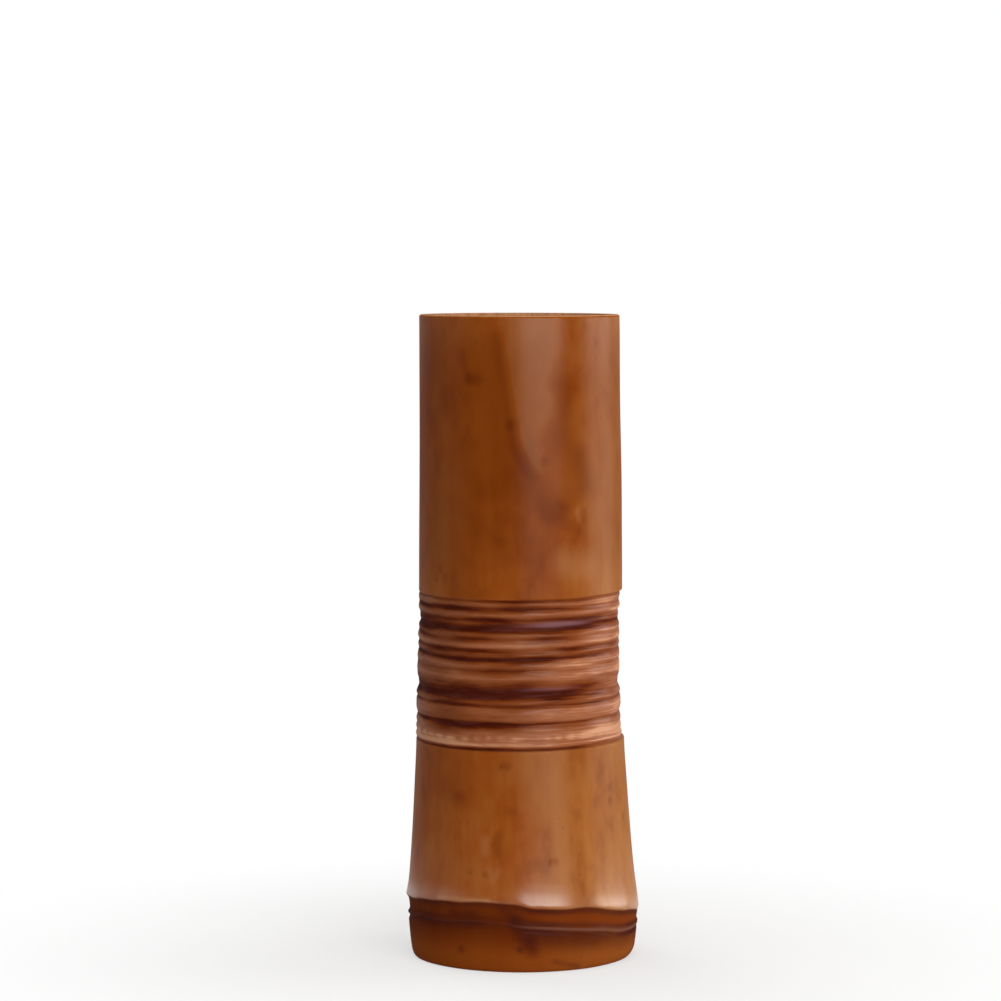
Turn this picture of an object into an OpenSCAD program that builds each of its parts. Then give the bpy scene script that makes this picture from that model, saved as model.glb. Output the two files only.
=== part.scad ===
// Bamboo vase: one length of culm that ends just below a slanting node, with a band of
// rings cut round its middle, and a water liner that hangs in the mouth by its flange.
// The front of the vase faces -Y, and it stands on the XY plane.

/* [Culm] */
// Height of the vase
vase_h = 250; // [225:5:300]
// Outer radius at the mouth
mouth_r = 38.9; // [37.5:0.1:42]
// How much wider the culm is at the node than at the mouth
flare = 6.1; // [3:0.1:9]
// How fast the flare dies out going up, larger is faster
flare_power = 4.8; // [3:0.1:7]
// Slight swelling of the upper length
belly = 1.7; // [0:0.1:3]
// Radius of the bore through the culm
bore_r = 31; // [29.5:0.1:32]
// Rounding of the cut rim
rim_round = 0.9; // [0.4:0.1:1.5]

/* [Node and foot] */
// Height of the node's ridge above the table, at the axis
node_z = 21.2; // [21:0.1:26]
// How far the node rises towards the front, in degrees
node_rise_front = 6.5; // [0:0.5:6.5]
// How far the node falls towards the right, in degrees
node_fall_right = 2.4; // [0:0.1:2.6]
// How far the ridge stands proud of the culm
ridge_proud = 0.5; // [0.3:0.05:1.2]
// Distance from the ridge down to the line of the sheath scar
scar_drop = 7.2; // [6:0.1:7.3]
// Outer radius of the foot where it meets the table
foot_r = 42.4; // [40.5:0.1:43.5]
// Thickness of the septum at its middle
septum_t = 3.6; // [2.5:0.1:5]

/* [Ring band] */
// Height of the band's lower edge
band_z = 84.6; // [75:0.1:95]
// Height of the band
band_h = 58.2; // [50:0.1:65]
// Depth that the skin is pared away between the grooves
band_cut = 0.45; // [0.2:0.05:0.8]

/* [Water liner] */
// Depth of the rebate in the mouth that carries the flange
rebate_depth = 4; // [3:0.1:6]
// Radius of the rebate
rebate_r = 34.5; // [34:0.1:35]
// Outer radius of the liner under its flange
liner_r = 29.3; // [27:0.1:29.3]
// Outer radius of the liner at its bottom
liner_foot_r = 27.8; // [25:0.1:27.8]
// Wall thickness of the liner
liner_wall = 1.5; // [1:0.1:2]
// Thickness of the flange
flange_t = 1.8; // [1.2:0.1:2.5]
// Height of the liner's bottom above the table
liner_z = 38; // [36:1:60]

/* [Hidden] */
$fn = 96;

// Grooves of the band: place as a share of the band's height, width and depth
RINGS = [
    [0.015, 1.3, 0.80],
    [0.070, 0.9, 0.55],
    [0.135, 0.8, 0.50],
    [0.190, 1.5, 0.90],
    [0.300, 1.4, 0.85],
    [0.365, 2.2, 1.25],
    [0.430, 1.5, 0.95],
    [0.490, 0.7, 0.45],
    [0.550, 0.7, 0.45],
    [0.610, 1.7, 1.00],
    [0.665, 1.3, 0.85],
    [0.735, 0.8, 0.50],
    [0.795, 2.3, 1.30],
    [0.865, 1.3, 0.85],
    [0.932, 1.6, 0.95],
    [0.985, 1.3, 0.95]
];
groove_floor = 0.35;   // share of a groove's width that is its flat floor
outline_step = 9;      // height between two points of the plain outline
foot_h = 5;            // height of the foot's curve
foot_points = 5;       // points of the foot's curve
stem_start = 17;       // height above the node at which the stem's outline begins
round_points = 5;      // points of the rim's rounding
collar_depth = 5;      // how deep the node's collar reaches into the culm
waist = 1.5;           // how much slimmer the culm is under the collar
septum_flare = 3;      // how much thicker the septum is where it meets the wall
septum_drop = 2.2;     // distance from the ridge down to the septum's middle
flange_gap = 0.4;      // play of the flange in its rebate
edge_round = 0.3;      // bevel on the flange's outer edges
lip_round = 0.6;       // bevel on the liner's inner edge
liner_recess = 1;      // hollow under the liner's bottom
ring_foot_w = 3.4;     // width of the ring that the liner's hollow bottom leaves
corner_r = 2;          // bevel of the liner's inner corner

// The node's skin going down: how far out from the culm, and how far up from the ridge
NODE_SKIN = [
    [-4, 19],
    [-0.1, 6],
    [ridge_proud, 0.9],
    [ridge_proud, -0.3],
    [-0.3, -1.6],
    [0.2, 2.4 - scar_drop],
    [0.2, 1 - scar_drop],
    [-0.3, -scar_drop],
    [0, -1 - scar_drop],
    [-3, -5.5 - scar_drop]
];

// Radius of the culm at its node
function node_r() = mouth_r + flare;

// Share of the way from the mouth down to the node
function down(z) = (vase_h - z) / (vase_h - node_z);

// Outer radius of the stem: a straight tube, a slight belly and the flare
function stem_r(z) =
    min(
        node_r() - waist,
        mouth_r + flare * pow(down(z), flare_power) + belly * down(z) * (1 - down(z))
    );

// Outer radius of the foot: a quarter of an ellipse that tucks in at the table
function foot_r_at(z) =
    foot_r + (node_r() - waist - foot_r) * sqrt(1 - pow(1 - z / foot_h, 2));

// Points of the plain outer outline between two heights
function stem_points(z0, z1) =
    let (n = max(1, ceil((z1 - z0) / outline_step)))
    [for (i = [0 : n]) let (z = z0 + (z1 - z0) * i / n) [stem_r(z), z]];

// The band's outline, going up: pared skin with one groove after another cut into it
function band_points() =
    [for (ring = RINGS)
        let (
            z = band_z + ring[0] * band_h,
            half_w = ring[1] / 2,
            skin = stem_r(z) - band_cut
        )
        for (point = [
            [skin, z - half_w],
            [skin - ring[2], z - half_w * groove_floor],
            [skin - ring[2], z + half_w * groove_floor],
            [skin, z + half_w]
        ]) point];

// The tube's outline: up the outside from the foot, over the rim and down the bore
module culm_section() {
    foot = [for (i = [0 : foot_points])
        let (z = foot_h * pow(i / foot_points, 2)) [foot_r_at(z), z]];
    rim = [for (i = [0 : round_points])
        let (a = 90 * i / round_points)
        [mouth_r - rim_round * (1 - cos(a)), vase_h - rim_round * (1 - sin(a))]];
    polygon(concat(
        foot,
        stem_points(node_z + stem_start, band_z),
        band_points(),
        stem_points(band_z + band_h, vase_h - outline_step),
        rim,
        [
            [rebate_r, vase_h],
            [rebate_r, vase_h - rebate_depth],
            [bore_r, vase_h - rebate_depth],
            [bore_r, 0]
        ]
    ));
}

// The node's ridge and, below it, the sheath scar
module node_collar() {
    inside = node_r() - collar_depth;
    first = NODE_SKIN[0];
    last = NODE_SKIN[len(NODE_SKIN) - 1];
    rotate_extrude()
        polygon(concat(
            [[inside, first[1]]],
            [for (point = NODE_SKIN) [node_r() + point[0], point[1]]],
            [[inside, last[1]]]
        ));
}

// Puts its children on the node's slanting plane
module slant() {
    translate([0, 0, node_z])
        rotate([-node_rise_front, node_fall_right, 0])
            children();
}

// The bamboo tube with its foot, node and ring band, open from end to end
module culm() {
    color("peru") {
        rotate_extrude() culm_section();
        slant() node_collar();
    }
}

// The node's own wall across the bore, thicker where it grows out of the tube
module septum() {
    half = septum_t / 2;
    flat_r = bore_r * 0.75;
    bend_r = bore_r * 0.9;
    bend = half + septum_flare * 0.15;
    edge_r = bore_r * 1.1;
    edge = half + septum_flare / 2;
    color("burlywood")
    intersection() {
        cylinder(r = bore_r, h = 2 * node_z);
        slant()
            translate([0, 0, -septum_drop])
                rotate_extrude()
                    polygon([
                        [0, -half],
                        [flat_r, -half],
                        [bend_r, -bend],
                        [edge_r, -edge],
                        [edge_r, edge],
                        [bend_r, bend],
                        [flat_r, half],
                        [0, half]
                    ]);
    }
}

// The cup that holds the water: a tapered tube with a floor and a flange
module water_liner() {
    seat_z = vase_h - rebate_depth;
    flange_r = rebate_r - flange_gap;
    flange_top = seat_z + flange_t;
    hollow_z = liner_z + liner_recess;
    floor_z = hollow_z + liner_wall;
    hollow_r = liner_foot_r - ring_foot_w;
    inside_r = liner_r - liner_wall;
    inside_foot_r = liner_foot_r - liner_wall;
    color("whitesmoke")
    rotate_extrude()
        polygon([
            [0, hollow_z],
            [hollow_r - liner_recess, hollow_z],
            [hollow_r, liner_z],
            [liner_foot_r - liner_wall, liner_z],
            [liner_foot_r, liner_z + liner_wall],
            [liner_r, seat_z],
            [flange_r - edge_round, seat_z],
            [flange_r, seat_z + edge_round],
            [flange_r, flange_top - edge_round],
            [flange_r - edge_round, flange_top],
            [inside_r + lip_round, flange_top],
            [inside_r, flange_top - lip_round],
            [inside_foot_r, floor_z + corner_r],
            [inside_foot_r - corner_r, floor_z],
            [0, floor_z]
        ]);
}

culm();
septum();
water_liner();
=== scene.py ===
import math

import bpy
import numpy as np
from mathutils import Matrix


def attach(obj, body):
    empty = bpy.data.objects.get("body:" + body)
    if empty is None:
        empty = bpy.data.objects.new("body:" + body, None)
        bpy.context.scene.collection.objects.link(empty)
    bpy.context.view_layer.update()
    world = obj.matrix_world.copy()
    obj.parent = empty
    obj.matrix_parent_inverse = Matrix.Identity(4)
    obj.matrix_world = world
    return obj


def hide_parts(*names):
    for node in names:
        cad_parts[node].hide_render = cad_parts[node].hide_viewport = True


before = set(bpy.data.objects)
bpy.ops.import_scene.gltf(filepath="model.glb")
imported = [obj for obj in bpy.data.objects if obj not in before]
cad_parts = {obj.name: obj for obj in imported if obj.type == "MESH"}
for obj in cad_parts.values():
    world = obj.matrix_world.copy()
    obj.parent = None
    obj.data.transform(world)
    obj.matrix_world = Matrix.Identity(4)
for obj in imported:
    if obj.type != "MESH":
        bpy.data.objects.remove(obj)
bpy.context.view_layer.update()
mm = 0.001
print("frame loaded:", sorted(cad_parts))


# Curves and waves

# Smooth curve through (place, value) points: cubic Hermite, with the harmonic mean of
# the two neighbouring slopes at each point, 0 at a peak, and level beyond the ends.
def smoothCurve(points, x):
    places, values = np.array(points, float).T
    steps = np.diff(places)
    slopes = np.diff(values) / steps
    before, after = slopes[:-1], slopes[1:]
    same = before * after > 0
    middle = np.where(same, 2 * before * after / np.where(same, before + after, 1), 0)
    tangents = np.concatenate([slopes[:1], middle, slopes[-1:]])
    x = np.clip(x, places[0], places[-1])
    i = np.clip(np.searchsorted(places, x) - 1, 0, len(steps) - 1)
    t = (x - places[i]) / steps[i]
    rise = values[i] * (1 + 2 * t) * (1 - t) ** 2 + values[i + 1] * t * t * (3 - 2 * t)
    bend = tangents[i] * t * (1 - t) ** 2 - tangents[i + 1] * t * t * (1 - t)
    return rise + steps[i] * bend


# The same curve through points at angles, which it repeats every full turn.
def ringCurve(points, degrees):
    around = [(a + turn, value) for turn in (-360, 0, 360) for a, value in points]
    return smoothCurve(around, degrees)


# 0 below a, 1 above b, and 3t^2 - 2t^3 of the share t of the way between them.
def smoothStep(a, b, x):
    t = np.clip((x - a) / (b - a), 0, 1)
    return t * t * (3 - 2 * t)


# 1 between two stretches of x and 0 beyond them, smooth over each stretch.
def plateau(stretches, x):
    rising, falling = stretches
    return smoothStep(*rising, x) * (1 - smoothStep(*falling, x))


# Waves over a turned surface: cosines of k times the angle plus the height over a random
# length of at least `length`, with k up to `crests`. Their root mean square is 1.
def ripple(turn, height, crests, length, seed, count=14):
    rng = np.random.default_rng(seed)
    total = np.zeros(np.broadcast(turn, height).shape)
    for _ in range(count):
        k = rng.integers(0, crests + 1)
        rate = rng.uniform(-1, 1) * 2 * math.pi / length
        total += np.cos(k * turn + rate * height + rng.uniform(0, 2 * math.pi))
    return total / math.sqrt(count / 2)


# Heights from a to b at the given spacing, without b.
def spaced(a, b, step):
    return np.linspace(a, b, max(1, round((b - a) / step)), endpoint=False)


# A bell over x: 1 at its centre, and e to the minus square of the widths away from it.
def bell(x, centre, width):
    return np.exp(-(((x - centre) / width) ** 2))


# Angles of the columns round the axis, as one row.
def columnAngles(columns):
    return np.linspace(0, 2 * math.pi, columns, endpoint=False)[None, :]


# Points at a radius, an angle from the front and a height, moved right by the lean.
def turnedPoints(radius, turn, height, lean=0.0):
    x = radius * np.sin(turn) + lean
    return np.stack([x, -radius * np.cos(turn), height + 0 * turn], axis=-1)


# Meshes

# A new object of the scene, with its mesh, lamp or lens.
def placed(name, data):
    made = bpy.data.objects.new(name, data)
    bpy.context.scene.collection.objects.link(made)
    return made


# One object from a grid of points, rows x columns x 3 in millimetres. Columns run round
# the axis, and rows join up into a closed section when `closed`, or end in two poles.
def gridObject(name, points, closed, attributes, material):
    rows, columns = points.shape[:2]
    index = np.arange(rows * columns).reshape(rows, columns)
    ahead = np.roll(index, -1, axis=1)
    last = rows if closed else rows - 1
    above, aboveAhead = np.roll(index, -1, axis=0), np.roll(ahead, -1, axis=0)
    quads = np.stack([index, ahead, aboveAhead, above], axis=-1)[:last].reshape(-1, 4)
    vertices = points.reshape(-1, 3) * mm
    faces = [quads]
    if not closed:
        poles = np.array([points[0].mean(0), points[-1].mean(0)]) * mm
        vertices = np.concatenate([vertices, poles])
        first, end = rows * columns, rows * columns + 1
        faces += [
            np.stack([np.full(columns, first), ahead[0], index[0]], axis=-1),
            np.stack([np.full(columns, end), index[-1], ahead[-1]], axis=-1),
        ]
    mesh = bpy.data.meshes.new(name)
    mesh.from_pydata(vertices.tolist(), [], [f for part in faces for f in part.tolist()])
    mesh.polygons.foreach_set("use_smooth", np.ones(len(mesh.polygons), bool))
    for key, values in attributes.items():
        layer = mesh.attributes.new(key, "FLOAT", "POINT")
        flat = np.broadcast_to(values, (rows, columns)).reshape(-1)
        if not closed:
            flat = np.concatenate([flat, [flat[0], flat[-1]]])
        layer.data.foreach_set("value", flat.astype(np.float32))
    mesh.validate()
    mesh.update()
    mesh.materials.append(material)
    return placed(name, mesh)


# Points of a section with each corner (radius, height, cut) turned into a quadratic
# curve that starts and ends `cut` from the corner.
def roundedSection(corners, steps):
    places = np.array([c[:2] for c in corners], float)
    cuts = np.array([c[2] for c in corners], float)[:, None]
    before = np.roll(places, 1, axis=0) - places
    after = np.roll(places, -1, axis=0) - places
    start = places + cuts * before / np.linalg.norm(before, axis=1, keepdims=True)
    end = places + cuts * after / np.linalg.norm(after, axis=1, keepdims=True)
    t = np.linspace(0, 1, steps)[None, :, None]
    fromStart = start[:, None] * (1 - t) ** 2
    fromCorner = places[:, None] * 2 * t * (1 - t)
    turned = fromStart + fromCorner + end[:, None] * t * t
    return turned.reshape(-1, 2)


# Shader writing

# A number in a shader, so that shader maths is written as arithmetic.
class Number:
    def __init__(self, graph, socket):
        self.graph, self.socket = graph, socket

    def math(self, operation, *others):
        node = self.graph.add("ShaderNodeMath", {"operation": operation}, dict(enumerate(others)))
        return Number(self.graph, node.outputs[0])

    def __add__(self, other):
        return self.math("ADD", self, other)

    def __sub__(self, other):
        return self.math("SUBTRACT", self, other)

    def __rsub__(self, other):
        return self.math("SUBTRACT", other, self)

    def __mul__(self, other):
        return self.math("MULTIPLY", self, other)

    def sine(self):
        return self.math("SINE", self)

    def atLeast(self, other):
        return self.math("MAXIMUM", self, other)

    def atMost(self, other):
        return self.math("MINIMUM", self, other)

    # 0 below a, 1 above b, smooth between them
    def between(self, a, b):
        node = self.graph.add(
            "ShaderNodeMapRange",
            {"interpolation_type": "SMOOTHSTEP"},
            {"Value": self, "From Min": a, "From Max": b},
        )
        return Number(self.graph, node.outputs["Result"])

    __radd__ = __add__
    __rmul__ = __mul__


# One material's node tree.
class Graph:
    def __init__(self, name):
        self.material = bpy.data.materials.new(name)
        self.material.use_nodes = True
        self.tree = self.material.node_tree
        self.tree.nodes.clear()
        self.place = self.add("ShaderNodeTexCoord").outputs["Object"]

    # A node of any type: its settings first, then its inputs by name or number
    def add(self, kind, settings=None, inputs=None):
        node = self.tree.nodes.new(kind)
        for key, value in (settings or {}).items():
            setattr(node, key, value)
        for key, value in (inputs or {}).items():
            if isinstance(value, Number):
                value = value.socket
            if isinstance(value, bpy.types.NodeSocket):
                self.tree.links.new(value, node.inputs[key])
            elif isinstance(value, tuple) and len(value) == 3 and node.inputs[key].type == "RGBA":
                node.inputs[key].default_value = (*value, 1)
            else:
                node.inputs[key].default_value = value
        return node

    def attribute(self, name):
        node = self.add("ShaderNodeAttribute", {"attribute_name": name})
        return Number(self, node.outputs["Fac"])

    # Object coordinates times a scale per metre, across and upwards, plus an offset
    def stretched(self, across, along, offset=0.0):
        node = self.add(
            "ShaderNodeVectorMath",
            {"operation": "MULTIPLY_ADD"},
            {0: self.place, 1: (across, across, along), 2: (offset, offset, offset)},
        )
        return node.outputs[0]

    # Noise from 0 to 1 in stretched space
    def noise(self, across, along, detail, roughness, offset):
        inputs = {"Vector": self.stretched(across, along, offset), "Scale": 1.0}
        inputs |= {"Detail": detail, "Roughness": roughness}
        node = self.add("ShaderNodeTexNoise", None, inputs)
        return Number(self, node.outputs["Fac"])

    # Distance from the nearest of scattered points, in cells of stretched space
    def cells(self, across, along):
        inputs = {"Vector": self.stretched(across, along), "Scale": 1.0}
        node = self.add("ShaderNodeTexVoronoi", None, inputs)
        return Number(self, node.outputs["Distance"])

    # One colour over another by a share from 0 to 1
    def mix(self, share, a, b):
        node = self.add("ShaderNodeMix", {"data_type": "RGBA"}, {0: share, 6: a, 7: b})
        return node.outputs[2]

    # Relief by height, over that of another normal if there is one
    def bump(self, height, distance, strength, normal=None):
        inputs = {"Height": height, "Distance": distance, "Strength": strength}
        if normal is not None:
            inputs["Normal"] = normal
        return self.add("ShaderNodeBump", None, inputs).outputs["Normal"]

    # The Principled shader of a piece, linked to the output
    def surface(self, inputs):
        shader = self.add("ShaderNodeBsdfPrincipled", None, inputs)
        self.add("ShaderNodeOutputMaterial", None, {"Surface": shader.outputs[0]})
        return self.material


# The culm

culm = {
    "height": 250.0,
    "columns": 252,
    "bore": 31.0,
    "rebate": 34.5,
    "rebateDepth": 4.0,
    "rimRound": 0.9,
    "rimSteps": 5,
    "grainStart": 2,  # steps up the rim at which its end grain begins
    "edgeRound": 0.3,
    "ridge": 22.5,  # level of the node's ridge before it is moved round the culm
    "scar": 15.9,  # level of the sheath scar before it is moved
    # mesh rows up the outside: at the foot, then (from, to, spacing), then to the mouth
    "footRows": [0, 0.06, 0.18, 0.36, 0.6, 0.9, 1.25, 1.65, 2.1, 2.6],
    "rows": [
        (3.1, 12, 0.6), (12, 25.5, 0.34), (25.5, 34, 0.6), (34, 82, 1.4), (82, 84, 0.5),
        (84, 143.6, 0.36), (143.6, 146, 0.6),
    ],
    "upperSpacing": 1.6,
    "mouthRows": [2.0, 1.3],  # down from the mouth
    # mesh rows inside: how far out from the rebate on the cut face, how far down in the
    # rebate, heights in the bore, and radii on the flat under the foot
    "cutFace": [2.6, 1.2],
    "unevenFace": [0.5, 0.8, 1.0],  # how uneven the cut face is, going in
    "rebateRows": [1.4, 2.6],
    "boreRows": [240, 225, 200, 175, 150, 125, 100, 75, 50, 35, 28, 20, 12, 6, 2],
    "footFace": [33, 36, 39],
    # radius of the skin by height
    "outline": [
        (0, 43.1), (4.2, 43.85), (9.8, 44.45), (14, 44.8), (18, 44.95), (22.5, 44.9), (26, 44.65),
        (28, 44.45), (36, 43.67), (47.9, 42.72), (59.8, 41.95), (71.6, 41.28), (81.5, 40.73),
        (103, 40.2), (123, 39.8), (144, 39.6), (178, 39.4), (217, 39.0), (250, 38.93),
    ],
    # how far the section's middle lies to the right of the axis
    "lean": [
        (0, 0.9), (14, 0.98), (36, 0.43), (60, 0.1), (86, -0.2), (107, -0.4), (125, -0.2),
        (150, 0), (200, -0.25), (250, -0.6),
    ],
    "leanFade": [0.75, 0.4, 0.1],  # share of the lean across the cut face, going in
    "leanFoot": 0.6,  # share of the lean at the outer edge of the flat under the foot
    # height of the ridge and of the sheath scar by angle
    "ridgeHeight": [
        (-135, 20.0), (-90, 23.3), (-64, 25.1), (-48, 26.2), (-34, 26.9), (-20, 27.2), (-5, 27.0),
        (6, 25.2), (13, 24.9), (24, 24.9), (37, 24.3), (50, 22.1), (64, 20.7), (90, 18.5),
        (135, 16.9), (180, 16.6),
    ],
    "scarHeight": [
        (-135, 12.6), (-90, 16.1), (-61, 18.2), (-47, 18.3), (-23, 19.4), (-10, 19.0), (-3, 18.1),
        (17, 16.9), (40, 15.0), (61, 12.7), (90, 12.8), (135, 10.4), (180, 10.0),
    ],
    # the node's section: how far the skin stands out, by height above the ridge
    "node": [
        (-12.5, 0), (-10, -0.05), (-8.8, -0.2), (-8.1, -0.5), (-7.5, -0.5), (-7.0, -0.1),
        (-6.6, 0.14), (-6.2, 0.1), (-5.6, -0.3), (-4.8, -0.6), (-3.4, -0.5), (-2.0, -0.35),
        (-0.9, -0.1), (-0.45, 0.35), (0, 0.56), (0.4, 0.64), (1.2, 0.58), (3.0, 0.34),
        (5.5, 0.12), (9, 0),
    ],
    # how strongly the node is shaped, by angle
    "nodeDepth": [(-90, 1.0), (0, 0.85), (60, 0.55), (90, 0.5), (180, 0.8)],
    "nodeStart": 0.5,  # level at which the rows begin to follow the node
    "nodeReach": 72,  # level at which they no longer follow it
    "roughEdges": [(8, 13), (22.2, 23.5)],  # levels where its roughness comes and goes
    # rounding of the foot's edge by angle: height and how far in it takes the edge
    "footRoundHeight": [(-90, 2.0), (0, 2.6), (45, 3.6), (90, 4.5), (180, 2.6)],
    "footRoundIn": [(-90, 0.7), (0, 1.0), (45, 1.8), (90, 2.4), (180, 1.2)],
    # the band: heights over which it begins and ends, how deep the skin is pared, how much
    # deeper at the right, and the least of it
    "bandEdges": [(84.6, 85.3), (142.3, 142.9)],
    "pared": 0.55,
    "paredRight": 0.5,
    "paredLeast": 0.02,
    # how the band's rings lie: higher at the back and at the right, and lower overall
    "bandBack": 0.9,
    "bandRight": 0.4,
    "bandDrop": 0.55,
    "bandMiddle": 113,
    "bandReach": 42,
    "wanderEdges": [(85.5, 90), (137, 142)],  # levels where the rings' wander comes and goes
    "grooveRange": (0.5, 1.5),  # least and most depth of a groove, as a share
    # the carved band by height at the front: how far the wood stands out from the pared
    # skin, and how light it is, from 0 for soot in a groove to 1 for bare wood on a ring
    "bandShape": [
        (85.2, -0.3), (86.2, -0.02), (87.1, 0.22), (88.4, -0.2), (89.9, 0.14), (91.2, -0.15),
        (92.8, 0.02), (95.1, -0.38), (97.2, 0.08), (99.0, 0.14), (100.4, 0.06), (101.9, -0.32),
        (103.3, 0.08), (104.6, -0.3), (106.2, -0.8), (108.6, -0.6), (110.4, -0.16), (111.6, -0.04),
        (112.9, 0.08), (114.2, 0.04), (115.6, -0.12), (117.4, 0.12), (118.8, -0.05), (120.1, -0.36),
        (121.8, -0.04), (123.2, -0.32), (125.2, 0.16), (126.4, -0.04), (127.5, -0.2), (129.0, 0),
        (130.2, -0.35), (131.2, -0.68), (133.2, -0.42), (134.8, -0.5), (136.7, 0.1), (138.9, -0.34),
        (140.9, 0.08), (142.3, -0.45),
    ],
    "bandTone": [
        (84.6, 0.5), (85.2, 0.22), (85.9, 0.34), (87.0, 1.0), (88.2, 0.8), (89.8, 0.95),
        (91.3, 0.74), (92.8, 0.66), (94.0, 0.5), (95.1, 0.2), (96.4, 0.62), (99.0, 0.7),
        (100.6, 0.62), (101.9, 0.2), (103.3, 0.45), (104.4, 0.24), (106.2, 0.0), (107.6, 0.14),
        (109.3, 0.3), (111.2, 0.42), (112.9, 0.66), (114.2, 0.58), (115.6, 0.45), (117.4, 0.72),
        (118.8, 0.45), (120.1, 0.12), (121.8, 0.42), (123.2, 0.2), (125.2, 0.78), (126.4, 0.5),
        (127.5, 0.32), (129.0, 0.52), (130.2, 0.22), (131.2, 0.0), (132.2, 0.12), (133.4, 0.26),
        (134.8, 0.2), (136.7, 0.7), (138.9, 0.2), (140.9, 0.64), (142.2, 0.24), (142.9, 0.5),
    ],
    "toneMost": 1.15,
    # darker and lighter patches in the band: angle, height, half length in degrees, half
    # height and how much lighter; and the same for the painted violet highlight on the soot
    "bandPatches": [
        (-42, 94.6, 26, 3.4, -0.3), (-62, 88.6, 26, 2.6, 0.22), (-48, 106.5, 22, 3.4, -0.12),
        (30, 116.0, 22, 4.0, 0.16), (12, 120.6, 26, 2.2, -0.1), (46, 90.8, 22, 2.2, 0.16),
        (52, 127.8, 16, 1.6, 0.2), (48, 139.8, 20, 2.0, 0.2), (8, 122.8, 16, 1.4, 0.16),
        (-30, 87.4, 24, 1.0, 0.14), (52, 105.0, 18, 3.0, 0.14), (58, 97.0, 14, 2.4, 0.12),
    ],
    "violetGlints": [(22, 133.0, 20, 1.0, 0.9), (16, 108.4, 16, 0.9, 0.4), (56, 129.8, 10, 0.7, 0.5)],
    # how much lighter the band is by angle: partly painted light from the right, partly the wood's
    # own tone
    "bandLightAndTone": [
        (-90, -0.06), (-60, 0.0), (-20, -0.09), (5, -0.05), (32, 0.06), (55, 0.18), (80, 0.28),
        (180, 0),
    ],
    # the deepest groove: height, half height, how much lighter it is without soot, and how
    # much soot it holds by angle
    "deepGroove": (106.6, 1.9, 0.34),
    "deepSoot": [
        (-80, 0.5), (-45, 0.4), (-12, 0.95), (25, 1.0), (40, 0.8), (60, 0.5), (80, 0.2),
        (180, 0.8),
    ],
    # the row of scratched dashes at the foot of the band
    "dashes": {
        "count": 44,
        "level": 89.7,
        "tall": 1.0,
        "ends": (0.04, 0.7),  # of a wave from 0 to 1, where a dash begins and is full
        "strength": 0.6,
        "depth": 0.05,
        "darker": 0.24,
    },
    # how much darker the skin is by height
    "deepen": [(26, 0), (50, 0.1), (84, 0.27), (146, 0.26), (158, 0.46), (236, 0.52), (248, 0.36)],
    # painted light: how much lighter its right side is painted by height, where the lamps fall on
    # it
    "paintedLightByHeight": [(20, 0.68), (40, 0.62), (84, 0.5), (150, 0.42), (210, 0.42), (240, 0.55)],
    # weight of the lacquer's gloss by height, with more on the lip and some above it
    "coat": [
        (0, 0.035), (20, 0.035), (24, 0.12), (82, 0.15), (90, 0.2), (138, 0.18), (150, 0.12),
        (215, 0.11), (245, 0.18),
    ],
    "lipCoat": 0.62,
    "skirtCoat": 0.24,
    "rimCoat": 0.05,
    # where the painted light on the right side begins, from -1 at the left to 1 at the right:
    # low down, how much further right high up, and the levels between which it changes
    "paintedLightStart": (-0.2, 0.4, 84, 150),
    # levels round the ridge between which the skin turns into the foot's, and levels in
    # the foot between which it turns into the painted shade of the cove under the lip
    "lipEdge": (-0.7, 0.1),
    "coveEdge": (4, 13),
    # painted shade: dark lines below the ridge, under the lip and round the sheath ring, with
    # the scar's own dark line: how far down, half width, strength at left and at right
    "darkLines": [
        (1.3, 0.8, 0.6, 0.9), (5.2, 0.8, 0.55, 0.85), (6.8, 0.9, 0.8, 0.0), (8.3, 1.3, 0.55, 1.0),
    ],
    "darkTurn": (-0.15, 0.25),  # from left to right, where one strength becomes the other
    # soft stripes round the node: how far below the ridge, and half width
    "stripes": {"sheath": (6.6, 0.55), "red": (3.4, 1.5), "lip": (-0.6, 4.0), "skirt": (0, 18)},
    "redTurn": (-0.1, 0.3),
    # painted highlight: how strongly the grey glint on the raised sheath ring is painted, by angle
    "sheathGlintByAngle": [(-90, 0.2), (-10, 0.1), (12, 0.9), (70, 1.0), (90, 0.5), (180, 0.4)],
    # unevenness: size, most crests round the culm, least length along it, and seed
    "waves": {
        "ridgeLine": (0.13, 20, 9, 3),
        "scarLine": (0.06, 9, 9, 4),
        "flutes": (0.09, 11, 9, 5),
        "fibres": (0.05, 9, 45, 6),
        "ringWander": (0.16, 6, 26, 11),
        "ringShiver": (0.05, 18, 8, 12),
        "pared": (0.08, 12, 18, 13),
        "grooveDepth": (0.16, 7, 10, 14),
        "raggedCut": (0.02, 24, 2.2, 15),
        "dashSpacing": (2.2, 9, 9, 16),
        "nodeDepth": (0.12, 20, 9, 17),
        "nodeSkin": (0.04, 50, 3, 18),
        "darkLines": (0.25, 12, 30, 19),
        "cutFace": (0.16, 18, 9, 21),
        "ringTone": (0.06, 9, 7, 22),
        "dashStrength": (0.5, 7, 9, 23),
    },
    # marks in the stain on the front: path as (arc from the front line, height), half width,
    # softness of the edge, and strength, below 0 for a mark lighter than the skin; two of the
    # lighter ones are painted highlights
    "marks": [
        ([(-9.1, 242), (-7.8, 233), (-6.2, 224), (-3.9, 209)], 0.8, 3.0, 0.42),
        ([(-3.9, 209), (-2.4, 200), (1.6, 192), (4.2, 189)], 1.0, 2.6, 0.55),
        ([(-13.0, 236), (-10.5, 220), (-8.0, 204), (-3.0, 191)], 3.0, 6.0, 0.24),
        (
            [(4.6, 252), (5.6, 232), (5.8, 218), (4.8, 206), (5.4, 192)],
            (10, 8.4, 7.6, 5.6, 0.6), 5.6, -0.15,
        ),
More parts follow.
